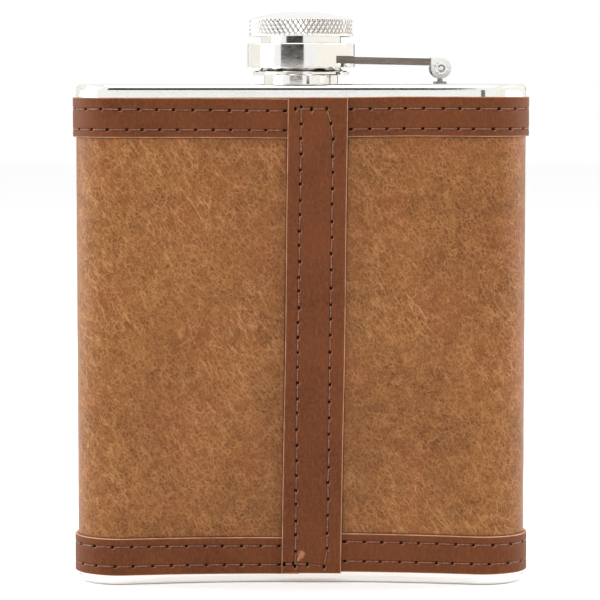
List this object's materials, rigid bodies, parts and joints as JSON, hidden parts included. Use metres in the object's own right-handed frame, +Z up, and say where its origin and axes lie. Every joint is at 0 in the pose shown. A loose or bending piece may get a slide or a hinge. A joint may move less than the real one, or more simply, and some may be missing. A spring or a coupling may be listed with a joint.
{
  "type": "hip flask",
  "caption": "Slim curved steel hip flask in a stitched tan leather wrap with brown edge bands, a knurled screw cap and a hinged arm that keeps the cap on the flask.",
  "frame": {"origin": "on the surface the flask stands on, straight below the middle of the neck", "axes": "+Z up along the neck, +X towards the side that carries the cap's hinge, +Y towards the bowed front, -Y towards the hollow back with the stitched strap"},
  "size_m": [0.0954, 0.0267, 0.1186],
  "materials": {
    "polished_steel": "mirror polished stainless steel with fine wear marks",
    "tan_leather": "smooth tan leather with a fine creased grain and a soft sheen",
    "brown_leather": "smooth mid-brown leather with pale cut edges",
    "brown_thread": "waxed dark brown thread",
    "seal_rubber": "matt off-white food-safe rubber"
  },
  "bodies": {
    "flask": {"body_tube": "polished_steel", "shoulder_tray": "polished_steel", "base_tray": "polished_steel", "threaded_neck": "polished_steel", "leather_wrap": "tan_leather", "top_band": "brown_leather", "bottom_band": "brown_leather", "seam_strap": "brown_leather", "top_band_thread_upper": "brown_thread", "top_band_thread_lower": "brown_thread", "bottom_band_thread_upper": "brown_thread", "bottom_band_thread_lower": "brown_thread", "strap_thread_left": "brown_thread", "strap_thread_right": "brown_thread", "hinge_bracket": "polished_steel", "hinge_pin": "polished_steel"},
    "arm": {"hinge_arm": "polished_steel", "retaining_cup": "polished_steel"},
    "seal": {"seal_washer": "seal_rubber"},
    "cap": {"knurled_head": "polished_steel", "threaded_sleeve": "polished_steel"}
  },
  "joints": [
    {"name": "arm_swing", "type": "hinge", "parent": "flask", "child": "arm", "pos_m": [0.0291, 0, 0.1069], "axis": [0, 1, 0], "range_deg": [0, 175]},
    {"name": "cap_rise", "type": "slide", "parent": "arm", "child": "seal", "axis": [0, 0, 1], "range_m": [0, 0.0051]},
    {"name": "cap_spin", "type": "hinge", "parent": "seal", "child": "cap", "pos_m": [0, 0, 0.1136], "axis": [0, 0, 1], "range_deg": [0, 1200]}
  ],
  "couplings": [
    {"joint": "cap_rise", "follows": "cap_spin", "m_per_rad": 0.00023873}
  ]
}
